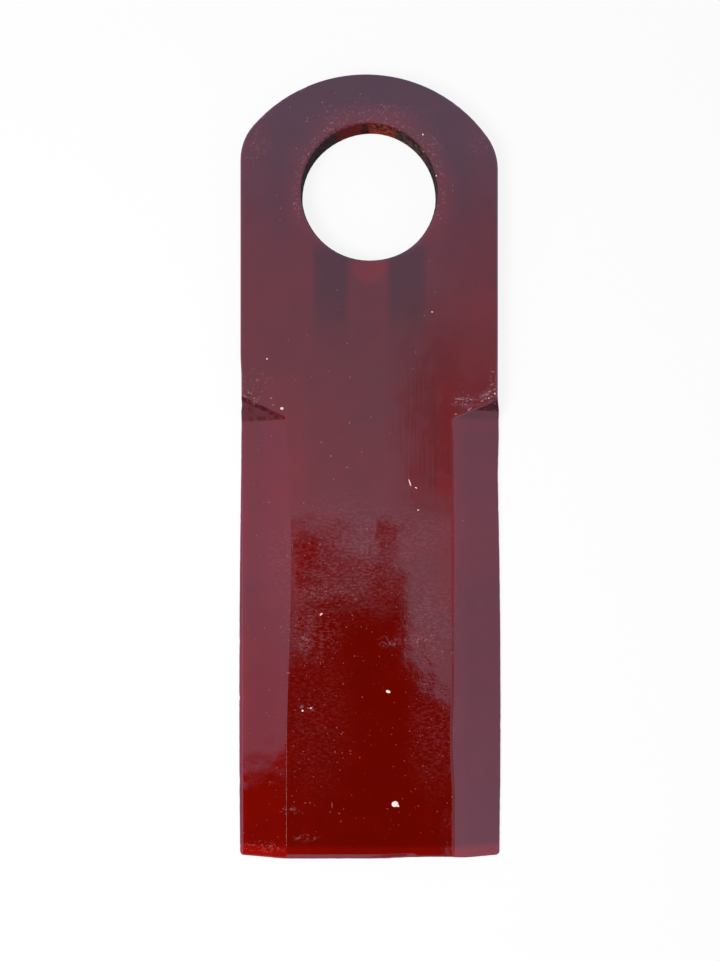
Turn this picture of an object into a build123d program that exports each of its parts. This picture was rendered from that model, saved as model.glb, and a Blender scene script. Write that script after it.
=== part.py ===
from build123d import *

import os
from math import atan2, cos, radians, sin, sqrt, tan

# Straw chopper knife: one flat steel blade with a punched pivot bore, bevelled along both long sides
# from the front only and painted over its rough edges.
# The knife lies on its flat back, as it would on a bench. The origin is on the bore's axis, in the
# plane of the back. +Z points out of the bevelled front, +Y towards the rounded head and +X towards
# the right-hand cutting edge, seen from the front with the head at the top.

# Driving sizes, in millimetres and degrees

# The flat bar it is cut from
LENGTH = 152.4  # crown of the head to the sheared end
BODY_WIDTH = 50.0
THICKNESS = 5.0

# The pivot bore, punched from the front
BORE_DIAMETER = 26.3
BORE_LIP_RADIUS = 0.4  # where the punch drew the front face down into the bore

# The head is one wide arc, struck a little off centre, so its two corners differ
CROWN_ABOVE_BORE = 23.0
HEAD_RADIUS = 29.0
HEAD_ARC_SHIFT = -0.65
LEFT_CORNER_RADIUS = 10.0
RIGHT_CORNER_RADIUS = 10.8

# The two cutting bevels, and the run-out where each climbs back to the face
BEVEL_WIDTH = 9.0
BEVEL_ROOT_BELOW_BORE = 43.8
EDGE_THICKNESS = 1.2  # left under the bevel at the body's side line
RUNOUT_ANGLE = 42.0  # steepness of the run-out above the bevel
RUNOUT_ROOT_RADIUS = 1.0

# Forming the bevels spread the cutting edges outwards
LEFT_EDGE_SPREAD = 0.65
RIGHT_EDGE_SPREAD = 1.0
SPREAD_PLACE = 0.68  # share of the cutting edge, from its top, at which it is widest
SPREAD_AT_END = 0.75  # share of the spread that is left at the sheared end

# Edges softened before painting
END_CORNER_RADIUS = 0.75  # corners of the sheared end, seen from the front
HEAD_EDGE_RADIUS = 0.5  # front edge from one run-out round the head to the other
CUTTING_EDGE_RADIUS = 0.5  # front of the cutting edges and of the sheared end, and the ridges
BACK_EDGE_RADIUS = 0.2

# How far a cut runs past the metal
CUT_OVERRUN = 3.0

# Places that follow from the sizes

half_width = BODY_WIDTH / 2
flat_half_width = half_width - BEVEL_WIDTH
end_y = CROWN_ABOVE_BORE - LENGTH
head_centre_y = CROWN_ABOVE_BORE - HEAD_RADIUS

bevel_root_y = -BEVEL_ROOT_BELOW_BORE
bevel_drop = THICKNESS - EDGE_THICKNESS
bevel_angle = atan2(bevel_drop, BEVEL_WIDTH)
runout_climb = bevel_drop * cos(bevel_angle) / tan(radians(RUNOUT_ANGLE))
runout_top_y = bevel_root_y + runout_climb


def head_corner(side):
    """Where the head's arc meets the side line, +1 for the right side and -1 for the left."""
    x = side * half_width
    return (x, head_centre_y + sqrt(HEAD_RADIUS**2 - (x - HEAD_ARC_SHIFT) ** 2))


def cutting_edge(side, spread):
    """Top, widest point and end of one cutting edge."""
    widest_y = runout_top_y + (end_y - runout_top_y) * SPREAD_PLACE
    return [
        (side * half_width, runout_top_y),
        (side * (half_width + spread), widest_y),
        (side * (half_width + spread * SPREAD_AT_END), end_y),
    ]


def bevel_section(side):
    """Plane through the root of one run-out: x along the blade to the head, y square to the bevel."""
    return Plane(
        origin=(side * flat_half_width, bevel_root_y, THICKNESS),
        x_dir=(0, 1, 0),
        z_dir=(cos(bevel_angle), 0, -side * sin(bevel_angle)),
    )


right_edge = cutting_edge(1, RIGHT_EDGE_SPREAD)
left_edge = cutting_edge(-1, LEFT_EDGE_SPREAD)
widest_spread = max(LEFT_EDGE_SPREAD, RIGHT_EDGE_SPREAD)

with BuildPart() as blade:
    # The blank, cut from flat bar
    with BuildSketch():
        with BuildLine():
            ThreePointArc(head_corner(-1), (HEAD_ARC_SHIFT, CROWN_ABOVE_BORE), head_corner(1))
            Line(head_corner(1), right_edge[0])
            ThreePointArc(*right_edge)
            Line(right_edge[2], left_edge[2])
            ThreePointArc(*reversed(left_edge))
            Line(left_edge[0], head_corner(-1))
        make_face()
        fillet(vertices().sort_by_distance(head_corner(-1))[0], LEFT_CORNER_RADIUS)
        fillet(vertices().sort_by_distance(head_corner(1))[0], RIGHT_CORNER_RADIUS)
        fillet(vertices().group_by(Axis.Y)[0], END_CORNER_RADIUS)
    extrude(amount=THICKNESS)

    # The punched pivot bore
    with Locations((0, 0, THICKNESS)):
        Hole(radius=BORE_DIAMETER / 2)

    # The bevels, each with its run-out at the top end
    for side in (1, -1):
        with BuildSketch(bevel_section(side)):
            reach = bevel_root_y - end_y + CUT_OVERRUN
            height = THICKNESS + CUT_OVERRUN
            with BuildLine():
                Polyline(
                    (0, 0),
                    (-reach, 0),
                    (-reach, height),
                    (height / tan(radians(RUNOUT_ANGLE)), height),
                    close=True,
                )
            make_face()
            fillet(vertices().sort_by_distance(bevel_section(side).origin)[0], RUNOUT_ROOT_RADIUS)
        extrude(
            amount=(BEVEL_WIDTH + widest_spread) / cos(bevel_angle) + CUT_OVERRUN,
            both=True,
            mode=Mode.SUBTRACT,
        )

    # The punch's roll-over round the bore, and the softened front edge of the head and the sides
    front = faces().sort_by(Axis.Z)[-1]
    head_edges = front.outer_wire().edges().filter_by(lambda edge: edge.center().Y > runout_top_y)
    fillet(front.inner_wires()[0].edges(), BORE_LIP_RADIUS)
    fillet(head_edges, HEAD_EDGE_RADIUS)

    # The front of the cutting edges and of the sheared end. The rounding follows the edges that run
    # smoothly on from these, so it also goes round the run-outs and down the ridge of each bevel.
    front = faces().sort_by(Axis.Z)[-1]
    bevels = faces().filter_by(GeomType.PLANE).sort_by(SortBy.AREA)[-4:-2]
    cutting_edges = [bevel.edges().sort_by(Axis.Z)[0] for bevel in bevels]
    end_edges = [face.edges().sort_by(Axis.Y)[0] for face in (front, *bevels)]
    fillet(cutting_edges + end_edges, CUTTING_EDGE_RADIUS)

    # The whole outline of the back
    back = faces().sort_by(Axis.Z)[0]
    fillet(back.outer_wire().edges(), BACK_EDGE_RADIUS)

blade.part.label = "blade"
os.makedirs("parts", exist_ok=True)
export_step(blade.part, "parts/blade.step")
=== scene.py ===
from math import atan2, cos, hypot, pi, radians, sin
from random import Random

import bmesh
import bpy
from mathutils import Matrix, Vector, noise
from mathutils.bvhtree import BVHTree


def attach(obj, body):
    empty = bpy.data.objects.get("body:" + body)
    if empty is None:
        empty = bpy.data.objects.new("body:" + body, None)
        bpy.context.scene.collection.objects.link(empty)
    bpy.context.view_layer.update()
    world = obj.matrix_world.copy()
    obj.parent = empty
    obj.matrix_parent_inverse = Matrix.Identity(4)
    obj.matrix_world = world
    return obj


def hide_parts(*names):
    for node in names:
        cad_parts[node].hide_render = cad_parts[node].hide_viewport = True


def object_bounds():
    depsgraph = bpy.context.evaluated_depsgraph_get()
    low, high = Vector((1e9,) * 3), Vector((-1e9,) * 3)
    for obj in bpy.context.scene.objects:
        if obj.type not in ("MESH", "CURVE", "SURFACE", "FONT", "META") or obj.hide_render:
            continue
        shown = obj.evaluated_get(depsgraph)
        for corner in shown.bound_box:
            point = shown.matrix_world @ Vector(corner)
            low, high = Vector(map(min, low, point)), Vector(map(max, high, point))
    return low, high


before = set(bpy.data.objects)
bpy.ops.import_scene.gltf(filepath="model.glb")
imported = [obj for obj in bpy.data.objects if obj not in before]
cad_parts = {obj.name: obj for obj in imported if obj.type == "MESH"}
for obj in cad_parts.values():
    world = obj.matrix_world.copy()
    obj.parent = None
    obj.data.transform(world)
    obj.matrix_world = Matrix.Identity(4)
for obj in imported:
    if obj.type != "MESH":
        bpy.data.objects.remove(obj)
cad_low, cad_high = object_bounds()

# The straw chopper knife lies on its back on a pale table, seen from straight above.
# Lengths and places are in millimetres from the bore's axis and the table, as in the solid.
# Meshes are made in millimetres and brought to metres at the end.

METRES = 0.001

# The blade's own sizes
THICKNESS = (cad_high.z - cad_low.z) / METRES
CROWN_Y = cad_high.y / METRES
END_Y = cad_low.y / METRES
HALF_WIDTH = 25.0
BORE_RADIUS = 13.15
RIDGE_X = 16.0
BEVEL_SLOPE = 0.4222
BEVEL_ROOT_Y = -43.8
RUNOUT_TOP_Y = -39.9

# The camera, straight over the blade's middle line; its frame is shifted towards the head
CAMERA = (-1.78, -74.4, 250.0)
LENS = 47.35
FRAME_SHIFT = 0.0994

# The card that carries the reflected sky
CARD_Z = 305.0

# Linear colours
DEEP_RED = (0.133, 0.0018, 0.0004)
BODY_SKY = (0.51, 0.98, 1.34, 1)
EDGE_SKY = (0.51, 0.98, 1.45, 1)
WINDOW = (1.7, 1.35, 2.5, 1)
WHITE = (1, 1, 1, 1)
TABLE_GLEAM = (0.55, 0.45, 0.95, 1)


# Shader maths

class Value:
    """An output socket in a finish. Sums and products written with it add Math nodes."""

    def __init__(self, finish, socket):
        self.finish = finish
        self.socket = socket

    def maths(self, operation, *terms):
        return self.finish.add("Math", {"operation": operation}, dict(enumerate(terms)))

    def __add__(self, other):
        return self.maths("ADD", self, other)

    def __sub__(self, other):
        return self.maths("SUBTRACT", self, other)

    def __rsub__(self, other):
        return self.maths("SUBTRACT", other, self)

    def __mul__(self, other):
        return self.maths("MULTIPLY", self, other)

    def __truediv__(self, other):
        return self.maths("DIVIDE", self, other)

    def __pow__(self, other):
        return self.maths("POWER", self, other)

    def __abs__(self):
        return self.maths("ABSOLUTE", self)

    def least(self, other):
        return self.maths("MINIMUM", self, other)

    def most(self, other):
        return self.maths("MAXIMUM", self, other)

    __radd__ = __add__
    __rmul__ = __mul__


class Finish:
    """A material while it is put together. Patterns are in millimetres of the object's own space."""

    def __init__(self, name, tree=None):
        if tree is None:
            self.material = bpy.data.materials.new(name)
            self.material.use_nodes = True
            tree = self.material.node_tree
        tree.nodes.clear()
        self.tree = tree
        place = self.add("TexCoord", {}, {}, "Object")
        self.place = self.add("VectorMath", {"operation": "SCALE"}, {0: place, "Scale": 1 / METRES})
        self.x, self.y, self.z = (self.add("SeparateXYZ", {}, {0: self.place}, axis) for axis in "XYZ")

    def add(self, kind, settings, sockets, output=0):
        """Adds a node: first its settings, then its sockets' values or links."""
        node = self.tree.nodes.new("ShaderNode" + kind)
        for name, setting in settings.items():
            setattr(node, name, setting)
        for name, value in sockets.items():
            if isinstance(value, Value):
                self.tree.links.new(value.socket, node.inputs[name])
            else:
                node.inputs[name].default_value = value
        return Value(self, node.outputs[output] if node.outputs else None)

    def step(self, value, low, high):
        """0 at low and 1 at high, with a soft change between them; low may be the larger."""
        settings = {"interpolation_type": "SMOOTHSTEP"}
        if low < high:
            return self.add("MapRange", settings, {0: value, 1: low, 2: high})
        return self.add("MapRange", settings, {0: value, 1: high, 2: low, 3: 1.0, 4: 0.0})

    def band(self, value, low, high, soft):
        """1 between low and high, fading out over soft on both sides."""
        return self.step(value, low - soft, low) * self.step(value, high + soft, high)

    def spot(self, x, y, across, along, soft=0.5, places=None):
        """1 inside an ellipse seen from above, given its middle and half-sizes, with a soft rim."""
        here_x, here_y = places or (self.x, self.y)
        off_x = (here_x - x) / across
        off_y = (here_y - y) / along
        return self.step((off_x * off_x + off_y * off_y) ** 0.5, 1 + soft, 1 - soft)

    def mix(self, share, first, second):
        """Blends two colours: first where share is 0, second where it is 1."""
        return self.add("Mix", {"data_type": "RGBA"}, {0: share, 6: first, 7: second}, 2)

    def tint(self, colour, level):
        """A colour made darker or lighter by a varying level."""
        return self.add("VectorMath", {"operation": "SCALE"}, {0: colour, "Scale": level})

    def drawn_out(self, across, along):
        """The place for a pattern whose grains are across wide and along long."""
        scale = (1 / across, 1 / along, 1 / across)
        return self.add("VectorMath", {"operation": "MULTIPLY"}, {0: self.place, 1: scale})

    def noise(self, size, detail=2.0, place=None, roughness=0.5):
        """Cloudy noise from 0 to 1 whose patches are about size across."""
        sockets = {"Vector": place or self.place, "Scale": 1 / size, "Detail": detail, "Roughness": roughness}
        return self.add("TexNoise", {}, sockets)

    def cells(self, size, output="Distance"):
        """Points strewn about size apart, seen from above: the distance to one, or its own random colour."""
        sockets = {"Vector": self.place, "Scale": 1 / size}
        return self.add("TexVoronoi", {"voronoi_dimensions": "2D"}, sockets, output)

    def specks(self, spacing, radius, share):
        """Round grains of one size, one in some of the cells; share is how many cells have one."""
        chance = self.add("SeparateXYZ", {}, {0: self.cells(spacing, "Color")}, 0)
        return self.step(self.cells(spacing) * spacing, radius, radius * 0.4) * self.step(share - chance, 0, 0.01)

    def flecks(self, across, along, level, soft=0.05):
        """Ragged flecks, across wide and along long, where rough noise rises above a level."""
        return self.step(self.noise(1.0, 4.0, self.drawn_out(across, along), 0.75) - level, 0, soft)

    def bump(self, height):
        """Turns a height in millimetres into a normal."""
        return self.add("Bump", {}, {"Strength": 1.0, "Distance": METRES, "Height": height})

    def close(self, surface):
        self.add("OutputMaterial", {}, {"Surface": surface})
        return self.material


def red_paint():
    """Glossy red dip paint over sheared and punched steel, dusty and marked, with painted light and shade in its
    colour.
    """
    f = Finish("red_paint")
    radius = (f.x * f.x + f.y * f.y) ** 0.5
    side = abs(f.x)
    on_bevel = f.step(side, RIDGE_X - 0.1, RIDGE_X + 0.3) * f.step(f.y, RUNOUT_TOP_Y - 2.5, BEVEL_ROOT_Y)
    right = f.step(f.x, 0, 1)
    runout = f.step(THICKNESS - f.z, 0.15, 0.4) * f.band(f.y, BEVEL_ROOT_Y, RUNOUT_TOP_Y, 0.3)

    # Painted light and shade in the paint's colour, besides cloudy tone: painted falloff darkens the head and
    # upper body, the right bevel is painted lighter than the left, the left edge, the left bevel's lower part and
    # the lower end are painted lighter, the run-outs are painted darker, painted shade bands lie below the bore,
    # and lighter patches lie around, below and above the bore and along the body's sides
    # Painted light falloff: darker over the head and upper body, lightest on the lower body
    painted_light_and_tone = 0.88 + 0.17 * f.step(f.y, -30, -60) - 0.08 * f.step(f.y, -70, -80)
    painted_light_and_tone = painted_light_and_tone - 0.30 * f.step(f.y, -16, 6) * (1 - 0.45 * f.step(side, 17, 22))
    halo = f.step(radius, 18.5, 14.0) * f.step(f.y, -13, -4) * (0.75 + 0.25 * right)
    painted_light_and_tone = painted_light_and_tone + 0.30 * halo
    # Painted shade: two dark bands below the bore
    shade = f.band(f.x, -10.0, -5.0, 1.6) + f.band(f.x, 4.6, 10.0, 1.6)
    painted_light_and_tone = painted_light_and_tone - 0.32 * shade * f.step(f.y, -9, -12) * f.step(f.y, -35, -17)
    painted_light_and_tone = painted_light_and_tone + 0.30 * f.spot(0.2, -14.6, 3.2, 3.0, 0.3) - 0.05 * f.step(side, 12, 0)
    painted_light_and_tone = painted_light_and_tone + 0.16 * f.spot(0, 14.2, 9.0, 2.6, 0.6)
    painted_light_and_tone = painted_light_and_tone + 0.12 * f.band(f.x, -19, -14, 3) * f.band(f.y, -80, -38, 5)
    painted_light_and_tone = painted_light_and_tone + 0.16 * f.step(f.x, 12, 20) * f.band(f.y, -42, -22, 6)
    painted_light_and_tone = painted_light_and_tone + 0.12 * f.band(f.x, 14.0, RIDGE_X, 1.5) * f.band(f.y, -80, -38, 5)
    # Painted light by side: the right bevel lighter than the left, and the left edge, the left bevel's lower part
    # and the bevels' inner parts lighter
    painted_light_and_tone = painted_light_and_tone * (1 + on_bevel * (0.17 * right - 0.09)) * (1 + 0.12 * f.step(f.x, -23.6, -24.4))
    painted_light_and_tone = painted_light_and_tone * (1 + 0.18 * f.step(f.x, -15, -17) * f.step(f.y, -76, -90))
    painted_light_and_tone = painted_light_and_tone * (1 + 0.10 * on_bevel * f.step(f.x, 19.5, 18))
    # Painted light on the lower end and on the bevels' ends, painted shade on the run-outs
    painted_light_and_tone = painted_light_and_tone * (1 + 0.4 * f.step(f.y, END_Y + 3.0, END_Y + 2.0)) * (1 - 0.3 * runout)
    painted_light_and_tone = painted_light_and_tone * (1 + 0.22 * on_bevel * f.step(f.y, END_Y + 2.6, END_Y + 1.2))
    cloud = f.noise(5.0, 3.0) - 0.5
    painted_light_and_tone = painted_light_and_tone * (1 + 0.35 * cloud)
    paint = f.tint(DEEP_RED, painted_light_and_tone)

    # Dust and paint nibs, thickest on the lower half of the flat
    lower = f.step(f.y, -61, -67) * f.step(f.x, -18, -15) * f.step(f.x, 17, 14)
    left_bevel = f.step(f.x, -15, -18)
    dusty = f.step(f.noise(6.0, 2.0), 0.36, 0.62)
    nibs = f.flecks(0.55, 0.45, 0.72 - dusty * (0.03 + 0.035 * lower + 0.02 * left_bevel))
    paint = f.mix(nibs * 0.5, paint, f.mix(lower, (0.25, 0.12, 0.13, 1), (0.30, 0.035, 0.022, 1)))
    dust = f.flecks(1.0, 0.8, 0.72 - dusty * (0.01 + 0.02 * lower))
    paint = f.mix(dust * 0.55, paint, f.mix(lower, (0.34, 0.19, 0.20, 1), (0.36, 0.07, 0.05, 1)))

    # A thin chalky film whose pinkish colour is partly dust and partly a painted reflection of the mottled sky,
    # and scuffs that stand out pale
    film_and_sheen = scuffed = None
    for x, y, across, along, strength in FILM_AND_SHEEN_PATCHES:
        patch = strength * f.spot(x, y, across, along, 0.7)
        film_and_sheen = film_and_sheen.most(patch) if film_and_sheen else patch
    for x, y, across, along, strength in SCUFFS:
        patch = strength * f.spot(x, y, across, along, 0.6)
        scuffed = scuffed.most(patch) if scuffed else patch
    film_and_sheen = film_and_sheen * f.flecks(0.8, 0.42, 0.46, 0.16)
    paint = f.mix(film_and_sheen, paint, (0.24, 0.06, 0.07, 1))
    beside_bore = f.band(radius, 14.0, 14.7, 0.5) * f.step(f.y, -9, -3)
    scuffed = scuffed.most(0.5 * beside_bore) * f.flecks(0.65, 0.5, 0.53, 0.12)
    paint = f.mix(scuffed, paint, (0.36, 0.13, 0.14, 1))

    # Relief in millimetres
    flow = (f.noise(4.0, 1.0) - 0.5) * 0.026
    grainy = 0.004 + 0.004 * lower
    orange_peel = (f.noise(1.0, 3.0, f.drawn_out(0.78, 0.60), 0.6) - 0.5) * grainy
    brushed = (f.noise(1.0, 4.0, f.drawn_out(0.6, 16.0), 0.75) - 0.5) * 0.009
    brushed = brushed * f.band(f.x, 5, 14, 3) * f.band(f.y, -62, -34, 6)
    relief = flow + orange_peel + brushed + nibs * 0.01 + dust * 0.02 + scuffed * 0.03

    coat = f.add("BsdfPrincipled", {}, {
        "Base Color": paint,
        "Roughness": 0.03 + 0.25 * dust + 0.3 * scuffed + 0.3 * runout,
        "IOR": 1.54,
        "Normal": f.bump(relief),
    })

    # The torn wall of the bore, where little paint holds
    wall = f.step(radius, BORE_RADIUS + 0.25, BORE_RADIUS + 0.05)
    torn = f.noise(0.9, 3.0)
    rust = f.mix(f.step(torn, 0.35, 0.65), (0.018, 0.009, 0.008, 1), (0.05, 0.028, 0.02, 1))
    rust = f.mix(f.spot(-3.4, 12.6, 3.4, 2.0, 0.5), rust, (0.11, 0.008, 0.005, 1))
    rust = f.mix(f.spot(2.0, 12.9, 3.0, 2.0, 0.5) * f.step(torn, 0.4, 0.55), rust, (0.30, 0.030, 0.008, 1))
    rust = f.mix(0.8 * f.spot(-0.7, 12.9, 0.8, 2.0, 0.7), rust, (0.008, 0.004, 0.004, 1))
    rust = f.mix(f.spot(9.5, 9.5, 3.0, 4.0, 0.5) * f.step(torn, 0.45, 0.6), rust, (0.09, 0.045, 0.03, 1))

    # Painted shade: dark matte colour in the corners of the run-outs, in a line across the left run-out and along
    # its root
    corner_shade = f.step(THICKNESS - f.z, 0.2, 0.5) * f.step(f.x, 17.6, 20.5) * f.band(f.y, -42.0, -39.6, 0.4)
    left_runout_shade = f.step(abs(f.y + 51.7 + 0.476 * f.x), 0.62, 0.3) * f.step(f.x, -16.8, -18.2)
    left_runout_shade = left_runout_shade * (0.35 + 0.65 * f.step(torn, 0.40, 0.55)) * f.step(f.z, 0.2, 1.2)
    left_root_shade = f.band(f.y, -43.9, -43.4, 0.3) * f.band(f.x, -23, -17.6, 1) * f.step(torn, 0.42, 0.52)
    left_root_shade = left_root_shade.most(f.band(f.y, -42.6, -41.6, 0.5) * f.step(f.x, -22, -24) * f.step(torn, 0.42, 0.52))
    corner_shade = (corner_shade * (0.8 + 0.5 * (torn - 0.5))).most(0.85 * left_runout_shade).most(0.5 * left_root_shade)
    # The matt finish gives the bore's torn wall its colours, and the run-outs' corners their painted shade
    matt = f.add("BsdfPrincipled", {}, {
        "Base Color": f.mix(wall, (0.045, 0.004, 0.009, 1), rust),
        "Roughness": 0.8,
        "IOR": 1.15,
        "Normal": f.bump(torn * 0.25),
    })
    return f.close(f.add("MixShader", {}, {0: wall.most(corner_shade), 1: coat, 2: matt}))


# Scuffed patches: middle, half-sizes and strength
SCUFFS = (
    (18.8, -40.6, 2.4, 1.0, 0.8),
    (22.8, -39.6, 1.8, 1.0, 1.0),
    (24.2, -37.0, 0.8, 2.6, 0.7),
    (-23.0, -40.0, 2.0, 0.9, 0.8),
    (-22.0, -37.0, 2.6, 2.5, 0.35),
    (-22.2, 8.8, 2.2, 3.0, 0.35),
    (21.5, 9.0, 2.0, 2.6, 0.25),
    (-1.0, 15.5, 9.0, 2.2, 0.35),
    (11.5, 8.0, 2.5, 3.5, 0.35),
    (-15.3, -119.8, 1.8, 0.7, 0.5),
    (-11.9, -125.2, 2.4, 0.6, 0.5),
    (-12.6, -87.5, 1.3, 1.8, 0.5),
    (3.7, -87.2, 1.8, 0.9, 0.45),
    (10.4, -86.6, 2.4, 1.8, 0.6),
    (14.4, -89.8, 2.0, 1.2, 0.6),
    (-12.2, -100.2, 1.4, 0.8, 0.8),
    (-20.5, -127.4, 4.0, 1.0, 0.25),
    (-8.0, -77.8, 7.0, 1.4, 0.35),
)

# Patches under the chalky film, partly dust and partly painted reflection, in the same way
FILM_AND_SHEEN_PATCHES = (
    (-4.0, -71.0, 13.0, 9.5, 0.4),
    (5.0, -66.0, 10.0, 4.0, 0.3),
    (-11.0, -84.5, 5.0, 6.0, 0.45),
    (11.5, -84.0, 5.0, 8.0, 0.4),
    (12.5, -104.0, 4.0, 10.0, 0.25),
    (-11.0, -100.0, 6.0, 14.0, 0.15),
)


def pale_dirt(name, low_colour, high_colour):
    """Dry specks of lime and dust, each a little lighter or darker than the next."""
    f = Finish(name)
    level = 0.7 + 0.6 * f.noise(2.5, 1.0)
    colour = f.tint(f.mix(f.step(f.y, -72, -60), low_colour, high_colour), level)
    return f.close(f.add("BsdfPrincipled", {}, {"Base Color": colour, "Roughness": 0.8, "IOR": 1.3}))


# The blade

def slice_along(bm, axis, places):
    """Cuts the mesh square to an axis at each place in rising order."""
    normal = Vector((0, 0, 0))
    normal[axis] = 1
    rest = bm.verts[:] + bm.edges[:] + bm.faces[:]
    for place in places:
        cut = bmesh.ops.bisect_plane(bm, geom=rest, dist=0.0005, plane_co=normal * place, plane_no=normal)
        rest = [part for part in cut["geom"] if reaches(part, axis, place)]


def reaches(part, axis, place):
    """Whether a vertex, edge or face has something past the place."""
    verts = [part] if isinstance(part, bmesh.types.BMVert) else part.verts
    return any(vert.co[axis] > place - 0.001 for vert in verts)


def spaced(low, high, gap):
    """Places from low to high, about gap apart, without high itself."""
    count = max(1, round((high - low) / gap))
    return [low + (high - low) * k / count for k in range(count)]


def fade(value, low, high):
    """0 at low and 1 at high with a soft change between; low may be the larger."""
    share = min(1.0, max(0.0, (value - low) / (high - low)))
    return share * share * (3 - 2 * share)


def hump(value, middle, reach):
    """1 at the middle, falling softly to 0 at reach on both sides."""
    return fade(abs(value - middle), reach, 0)


def roll_left_edge(co):
    """The left cutting edge is dubbed over: its last half millimetre falls away."""
    over = fade(co.x, -24.75, -25.5) * fade(co.y, BEVEL_ROOT_Y + 1, BEVEL_ROOT_Y - 1)
    co.z -= 0.34 * over * over * co.z


def roll_shear(co):
    """Between the ridges the shear left a rounded lip at the very end."""
    over = fade(co.y, END_Y + 1.0, END_Y) * fade(co.x, -17, -15.5) * fade(co.x, 9, 7)
    co.z -= 0.3 * over * co.z / THICKNESS


def spread_shoulders(co):
    """The bevels' top ends stand out past the body, whose left side is drawn in a little above them."""
    out = fade(abs(co.x), HALF_WIDTH - 5, HALF_WIDTH)
    if co.x > 0:
        co.x += out * 0.42 * fade(co.y, RUNOUT_TOP_Y + 0.5, BEVEL_ROOT_Y + 1) * fade(co.y, -56, -45)
    else:
        co.x -= out * 0.06 * fade(co.y, RUNOUT_TOP_Y - 1, BEVEL_ROOT_Y) * fade(co.y, -54, -46)
        co.x += out * 0.18 * fade(co.y, -31, -36) * fade(co.y, -42.4, -41)


def bow_ridges(co):
    """The left bevel's ridge bows in towards the middle, and the right one runs out a little."""
    near_front = fade(co.z, 1, 4)
    left = 0.8 * fade(co.y, -44, -60) * fade(co.y, -108, -74)
    co.x += left * hump(co.x, -RIDGE_X, 5) * near_front
    right = 0.35 * fade(co.y, BEVEL_ROOT_Y + 1, BEVEL_ROOT_Y - 6) * fade(co.y, -108, -96)
    right += 0.5 * fade(co.y, -104, -118)
    co.x += right * hump(co.x, RIDGE_X, 5) * near_front


def roll_end(co):
    """The shear bent the front face down over the last millimetres, and turned the end in on the right."""
    front = co.z / THICKNESS
    co.z -= 0.12 * max(0.0, END_Y + 2.6 - co.y) * front
    dip = 0.42 * fade(co.x, 1, 11) * fade(co.x, 20, 15.5) + 0.06 * noise.noise(Vector((co.x * 0.9, 2.2, 0)))
    co.y += dip * fade(co.y, END_Y + 3, END_Y) * front


# Knocks in the cutting edges: place along the blade and depth
LEFT_NICKS = ((-43.2, 0.08), (-87.4, 0.07), (-98.4, 0.10), (-114.9, 0.08))
RIGHT_NICKS = ((-61.0, 0.05), (-104.0, 0.05))


def nick_edges(co):
    """Small knocks along both cutting edges."""
    reach = fade(abs(co.x), HALF_WIDTH - 1.2, HALF_WIDTH) * fade(co.y, BEVEL_ROOT_Y, BEVEL_ROOT_Y - 1)
    if reach > 0:
        wavy = abs(noise.noise(Vector((co.y * 0.45, co.x, 0)))) * 0.05
        wavy += abs(noise.noise(Vector((co.y * 1.9, co.x, 5)))) * 0.04
        for place, painted_light_and_tone in LEFT_NICKS if co.x < 0 else RIGHT_NICKS:
            wavy += painted_light_and_tone * hump(co.y, place, 0.9)
        co.x -= reach * wavy if co.x > 0 else -reach * wavy


def wrinkle_shoulders(co):
    """The steel puckered where the run-outs meet the body's sides."""
    for side, strength in ((-1, 0.10), (1, 0.17)):
        near = hump(co.x, side * 23.5, 7) * hump(co.y, -39.6, 3.2)
        if near > 0:
            ripple = noise.noise(Vector((co.x * 0.6, co.y * 1.6, side)))
            fine = noise.noise(Vector((co.x * 1.7, co.y * 2.6, side * 3)))
            co.z -= near * strength * (0.9 + ripple + 0.6 * fine) * co.z / THICKNESS


def tear_bore(co):
    """The punch left the bore's wall rough and a little out of round, with a lug of torn steel at the back."""
    radius = hypot(co.x, co.y)
    if radius < BORE_RADIUS + 0.6:
        angle = atan2(co.y, co.x)
        ripple = noise.noise(Vector((angle * 9, co.z * 0.5, 0))) * 0.10
        fine = noise.noise(Vector((angle * 30, co.z * 1.4, 4))) * 0.06
        lug = 0.35 * hump(co.x, -1.8, 0.9) * fade(co.z, 2.2, 0.8) * (co.y > 0)
        burr = 0.24 * hump(angle, radians(118), radians(50)) * fade(co.z, 4, 0)
        wide = 0.18 * hump(angle, radians(-52), radians(40))
        inside = 0.1 < co.z < THICKNESS - 0.5
        grown = (radius + wide - burr + (min(0.0, ripple + fine) - lug) * inside) / radius
        co.x *= grown
        co.y *= grown


def settle(co):
    """Slow unevenness of the rolled bar's front face."""
    low = (noise.noise(co * 0.12) + 0.5 * noise.noise(co * 0.3)) * 0.03
    co.z -= abs(low) * fade(co.z, 0.5, 2)


SHAPES = (
    settle,
    wrinkle_shoulders,
    bow_ridges,
    roll_left_edge,
    roll_shear,
    spread_shoulders,
    roll_end,
    nick_edges,
    tear_bore,
)


def finished_mesh(bm, name):
    """Makes the mesh smooth but for its sharp edges, and brings it to metres."""
    for edge in bm.edges:
        edge.smooth = edge.calc_face_angle(0) < radians(38)
    for face in bm.faces:
        face.smooth = True
    bmesh.ops.scale(bm, vec=Vector((METRES,) * 3), verts=bm.verts)
    mesh = bpy.data.meshes.new(name)
    bm.to_mesh(mesh)
    bm.free()
    return mesh


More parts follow.
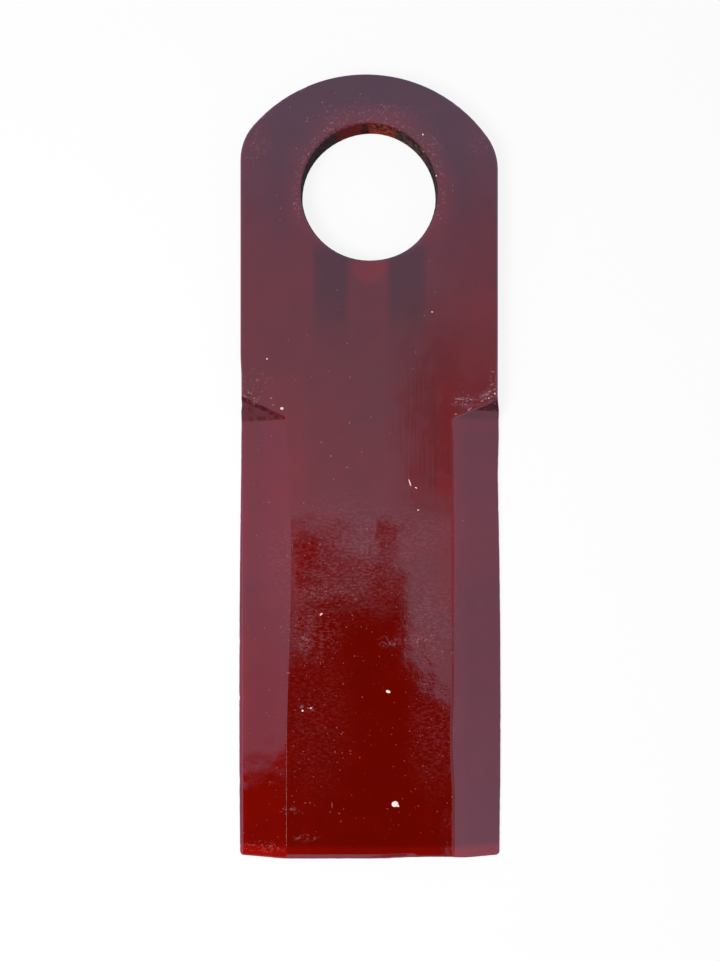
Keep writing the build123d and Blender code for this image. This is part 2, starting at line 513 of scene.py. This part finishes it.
def blade_mesh():
    """The solid's own surface, cut finely enough to take the marks that making and use left on it."""
    bm = bmesh.new()
    bm.from_mesh(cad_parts["blade"].data)
    bmesh.ops.scale(bm, vec=Vector((1 / METRES,) * 3), verts=bm.verts)
    bmesh.ops.remove_doubles(bm, verts=bm.verts, dist=0.0001)
    bmesh.ops.dissolve_limit(bm, angle_limit=radians(0.05), verts=bm.verts, edges=bm.edges)
    along = spaced(END_Y, END_Y + 1.2, 0.15) + spaced(END_Y + 1.2, -126.5, 0.3) + spaced(-126.5, -48, 0.7) + spaced(-48, -36, 0.3) + spaced(-36, CROWN_Y, 0.8)
    across = spaced(-25.8, -24.6, 0.15) + spaced(-24.6, -14, 0.5) + spaced(-14, 14, 1.0) + spaced(14, 25.8, 0.5)
    slice_along(bm, 2, spaced(1.0, 5.0, 0.8))
    slice_along(bm, 1, along)
    slice_along(bm, 0, across)
    for vert in bm.verts:
        for shape in SHAPES:
            shape(vert.co)
    return bm


def add_piece(name, mesh, material):
    """Puts a finished mesh in the scene as a piece of the blade."""
    piece = bpy.data.objects.new(name, mesh)
    bpy.context.scene.collection.objects.link(piece)
    mesh.materials.append(material)
    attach(piece, "root")
    return piece


# Dirt that lies on the paint

def add_grain(bm, tree, x, y, long, wide, turn, rings=1):
    """A flat grain stuck to the front at a place, its length turned from the x axis by some degrees."""
    place, normal, _, _ = tree.ray_cast(Vector((x, y, 20)), Vector((0, 0, -1)))
    if place is None or place.z < 0.5:
        return
    lie = Matrix.Translation(place) @ normal.to_track_quat("Z", "Y").to_matrix().to_4x4()
    form = Matrix.Rotation(radians(turn), 4, "Z") @ Matrix.Diagonal((long / 2, wide / 2, min(0.12, min(long, wide) / 3), 1))
    bmesh.ops.create_icosphere(bm, subdivisions=rings, radius=1, matrix=lie @ form)


# Specks of lime: place, length, width and turn
LIME_SPECKS = (
    (5.0, -118.6, 1.35, 1.15, 20),
    (5.5, -118.9, 0.8, 0.5, -30),
    (3.7, -96.8, 0.95, 0.55, -20),
    (7.9, -56.3, 1.5, 0.22, -72),
    (9.1, -57.3, 0.5, 0.25, -30),
    (-16.9, -41.9, 0.68, 0.52, 0),
    (9.5, -61.6, 0.45, 0.22, 10),
    (-19.8, -32.3, 0.35, 0.3, 0),
    (12.2, -23.2, 0.35, 0.25, 0),
    (-9.3, -81.8, 0.7, 0.35, 40),
    (-12.9, -100.5, 0.4, 0.4, 0),
    (-11.3, -100.0, 0.5, 0.25, 20),
    (10.4, 11.2, 0.4, 0.25, -40),
    (13.0, 3.2, 0.35, 0.25, 0),
    (23.2, -39.9, 0.3, 0.2, 40),
    (24.4, -39.0, 0.25, 0.4, 0),
)

# Pink grains and streaks: place, length, width and turn
PINK_SPECKS = (
    (-17.1, -84.3, 0.45, 0.4, 0),
    (-12.3, -86.8, 0.5, 0.35, 0),
    (7.0, -86.8, 0.6, 0.3, 10),
    (-15.7, -93.2, 0.4, 0.8, 0),
    (11.0, -95.3, 1.2, 0.2, 3),
    (-20.0, -101.0, 0.4, 0.3, 0),
    (-6.6, -108.5, 0.3, 0.5, 0),
    (-7.2, -118.8, 0.22, 1.2, 4),
    (16.1, -117.2, 0.35, 0.3, 0),
    (-0.4, -65.3, 0.3, 0.5, 10),
    (-9.5, -68.3, 0.7, 0.22, 45),
    (6.2, -70.1, 0.4, 0.3, 0),
    (-15.8, -70.5, 0.4, 0.5, 0),
    (-8.4, -77.4, 0.45, 0.35, 0),
    (-2.6, -78.9, 0.6, 0.3, 0),
    (-8.0, -79.6, 0.3, 0.3, 0),
    (-11.7, 7.5, 0.5, 0.35, 60),
    (-7.2, 13.5, 0.6, 0.25, 10),
    (10.6, 7.9, 0.3, 0.4, 0),
    (17.6, -40.1, 2.0, 0.25, -3),
    (-18.6, -41.2, 0.5, 0.3, 20),
    (19.8, -40.2, 0.8, 0.28, -20),
    (18.7, -41.1, 0.6, 0.3, 30),
    (19.4, -42.1, 0.9, 0.4, 20),
    (21.9, -40.4, 0.7, 0.4, 35),
    (22.6, -40.0, 0.5, 0.35, 10),
    (23.4, -38.6, 0.8, 0.35, 25),
    (24.3, -38.2, 0.4, 0.5, 0),
    (23.8, -39.6, 0.5, 0.25, 40),
    (24.1, -34.8, 0.4, 0.3, 0),
    (16.8, -43.0, 0.5, 0.35, 0),
    (-22.9, -39.0, 0.5, 0.3, 60),
    (-23.4, -38.8, 0.3, 0.5, 10),
    (-22.3, -39.9, 0.6, 0.22, 10),
    (-19.0, -39.9, 0.5, 0.4, 40),
    (-7.4, -51.1, 0.4, 0.35, 0),
)

# Loose patches of pink grains: middle, half-sizes and how many
GRAIN_PATCHES = (
    (-8.5, -80, 7.0, 12, 70),
    (5.0, -78, 9.0, 12, 30),
    (-9.0, -106, 6.5, 16, 75),
    (4.0, -106, 6.0, 18, 30),
    (11.5, -104, 4.0, 22, 50),
    (-21.0, -104, 4.0, 22, 22),
    (-20.5, -62, 4.0, 16, 8),
    (21.0, -90, 4.0, 36, 10),
    (-1.0, -48, 13, 14, 14),
    (0.0, -25, 22, 12, 12),
    (-5.0, 15.5, 11, 4, 14),
    (-14.5, 2.0, 3.5, 8, 10),
    (13.5, 4.0, 3.0, 9, 9),
    (20.5, -40.5, 4.0, 1.8, 12),
    (-22.5, -39.5, 2.5, 2.0, 6),
)


def grains(tree, marks, patches=()):
    """One mesh of single grains and of patches strewn with them."""
    chance = Random(11)
    bm = bmesh.new()
    for x, y, long, wide, turn in marks:
        add_grain(bm, tree, x, y, long, wide, turn, rings=2)
    for x, y, across, along, count in patches:
        for _ in range(count):
            place = x + across * chance.uniform(-1, 1), y + along * chance.uniform(-1, 1)
            long = chance.uniform(0.16, 0.36)
            add_grain(bm, tree, *place, long, long * chance.uniform(0.5, 1), chance.uniform(0, 180))
    return bm


def make_blade():
    bm = blade_mesh()
    tree = BVHTree.FromBMesh(bm)
    blade = add_piece("painted_blade", finished_mesh(bm, "painted_blade"), red_paint())
    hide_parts("blade")
    flats = blade.modifiers.new("flats stay flat", "WEIGHTED_NORMAL")
    flats.keep_sharp = True
    lime = finished_mesh(grains(tree, LIME_SPECKS), "lime_specks")
    add_piece("lime_specks", lime, pale_dirt("lime", (0.9, 0.72, 0.72, 1), (0.9, 0.72, 0.72, 1)))
    dust = finished_mesh(grains(tree, PINK_SPECKS, GRAIN_PATCHES), "dust_grains")
    add_piece("dust_grains", dust, pale_dirt("dust", (0.27, 0.055, 0.04, 1), (0.30, 0.13, 0.14, 1)))


# The studio

def sheet_of(name, half_size, centre, material):
    """A flat square sheet on the stage."""
    bm = bmesh.new()
    bmesh.ops.create_grid(bm, x_segments=1, y_segments=1, size=half_size * METRES)
    bmesh.ops.translate(bm, vec=Vector(centre) * METRES, verts=bm.verts)
    mesh = bpy.data.meshes.new(name)
    bm.to_mesh(mesh)
    bm.free()
    sheet = bpy.data.objects.new(name, mesh)
    sheet.data.materials.append(material)
    bpy.context.scene.collection.objects.link(sheet)
    return sheet


def seen_directly(f):
    """1 for camera, glossy and transmission rays, 0 for the light that falls on things."""
    camera, glossy, clear = (
        f.add("LightPath", {}, {}, f"Is {kind} Ray") for kind in ("Camera", "Glossy", "Transmission")
    )
    return camera.most(glossy).most(clear)


def table_top():
    """Pale table: nearly the white of the background, and still takes the knife's shadow."""
    f = Finish("table_top")
    chalk = f.add("BsdfDiffuse", {}, {"Color": (0.9, 0.9, 0.9, 1)})
    glossy = f.add("LightPath", {}, {}, "Is Glossy Ray")
    glow = f.add("Emission", {}, {"Color": f.mix(glossy, WHITE, TABLE_GLEAM), "Strength": 1.0})
    return f.close(f.add("MixShader", {}, {0: seen_directly(f) * 0.86, 1: chalk, 2: glow}))


def sky_card():
    """The open sky that the paint reflects, with the dark places in it."""
    f = Finish("sky_card")
    # Where on the front face the camera sees each place of the card mirrored
    magnified = 1 + (CARD_Z - THICKNESS) / (CAMERA[2] - THICKNESS)
    x = (f.x - CAMERA[0]) / magnified + CAMERA[0]
    y = (f.y - CAMERA[1]) / magnified + CAMERA[1]
    here = (x, y)
    on_flat = f.band(f.x, -110, 110, 40) * f.step(f.y, -360, -310)

    # Sky over the flat: brighter over the head, dimmer towards the right side
    level = 1 + 0.22 * f.step(y, -12, 17) - 0.16 * f.step(x, 8, 22) * f.step(y, 22, -26)
    strip = 0.64 * f.step(x, 3, 14.5) * f.step(y, -16, -43) * f.step(y, -66, -54)
    strip = strip * (1 - 0.4 * f.step(x, 14.5, 20))
    level = level * (1 - strip * on_flat)

    # The dark that turns the lower flat deep red
    wander = (f.noise(16, 3.0) - 0.5) * 6
    far = x - 7.8 - 9.5 * f.step(y, -88, -103) + wander * 0.4
    near = f.step(y + wander * 0.2, -78.2, -79.4) * f.step(far, 2.5, -2.5)
    near = near * (1 - 0.45 * f.step(x, -9.5, -11.5) * f.step(y, -93, -90))
    leafy = 0.52 * f.step(y, -61.5, -65) * f.step(x + wander * 0.4, 9.5, 5.0)
    leafy = leafy.most(0.72 * f.spot(-11.8, -71.0, 3.4, 6.5, 0.4, here))
    leafy = leafy.most(0.66 * f.spot(3.6, -67.0, 3.6, 2.8, 0.5, here))
    leafy = leafy.most(0.68 * f.spot(3.0, -76.0, 6.0, 2.6, 0.5, here))
    leafy = leafy.most(0.58 * f.spot(-7.0, -74.5, 8.0, 2.6, 0.5, here))
    leafy = leafy * (1 - 0.4 * f.spot(-1.5, -66.5, 2.4, 4.0, 0.5, here))
    leaves = f.noise(1.0, 4.0, f.drawn_out(2.0, 1.3), 0.75)
    dark = near.most(leafy)
    dark = f.step(leaves - 0.6 * dark, 0.24, 0.16) * on_flat
    left_gap = f.band(f.x, -300, -100, 20) * f.step(f.y, -130, -165) * f.step(f.y, -360, -310)
    right_gap = 0.45 * f.band(f.x, 60, 300, 25) * f.step(f.y, -20, -60) * f.step(f.y, -360, -310)
    past_end = f.step(f.y, -340, -400) * f.step(f.x, -60, -120).most(f.band(f.x, 25, 150, 15))
    dark = dark.most(0.85 * left_gap).most(right_gap).most(0.7 * past_end)

    # The same dark lies past the lower end of the left bevel
    over_left = f.band(f.x, -450, -290, 30)
    left = over_left * f.step(f.y - 0.3 * f.x, -51, -79) * f.step(f.y, -500, -420)
    dim_left = 0.22 * over_left * f.step(f.y, -60, -150)
    over_right = f.step(f.x, 250, 300)
    level = level * (1 - dim_left) * (1 + over_right * (0.26 + 0.16 * f.step(f.y, -120, -230)))

    sky = f.mix(over_left.most(over_right).most(f.step(y, -28, -2)), BODY_SKY, EDGE_SKY)
    sky = f.mix(f.step(f.x, -520, -700), sky, WINDOW)
    colour = f.tint(sky, level * (1 - dark.most(left)))
    return f.close(f.add("Emission", {}, {"Color": colour, "Strength": 1.0}))


def studio():
    sheet_of("table", 2000, (0, 0, 0), table_top())
    card = sheet_of("sky_card", 4000, (0, 0, CARD_Z), sky_card())
    card.visible_camera = False
    card.visible_diffuse = False
    card.visible_transmission = False
    card.visible_shadow = False

    key = bpy.data.lights.new("key", "AREA")
    key.shape = "DISK"
    key.size = 0.22
    key.energy = 1.25
    lamp = bpy.data.objects.new("key", key)
    lamp.location = Vector((-180, -160, 350)) * METRES
    lamp.rotation_euler = (Vector((0, -70, 0)) * METRES - lamp.location).to_track_quat("-Z", "Y").to_euler()
    bpy.context.scene.collection.objects.link(lamp)

    world = bpy.data.worlds.new("studio")
    bpy.context.scene.world = world
    world.use_nodes = True
    f = Finish("studio", world.node_tree)
    strength = f.add("MapRange", {}, {0: seen_directly(f), 3: 0.47, 4: 1.0})
    glow = f.add("Background", {}, {"Color": WHITE, "Strength": strength})
    f.add("OutputWorld", {}, {"Surface": glow})


def camera():
    data = bpy.data.cameras.new("camera")
    data.lens = LENS
    data.shift_y = FRAME_SHIFT
    data.clip_start = 0.01
    view = bpy.data.objects.new("camera", data)
    view.location = Vector(CAMERA) * METRES
    bpy.context.scene.collection.objects.link(view)
    bpy.context.scene.camera = view


bpy.context.scene.view_settings.view_transform = "Standard"
make_blade()
studio()
camera()
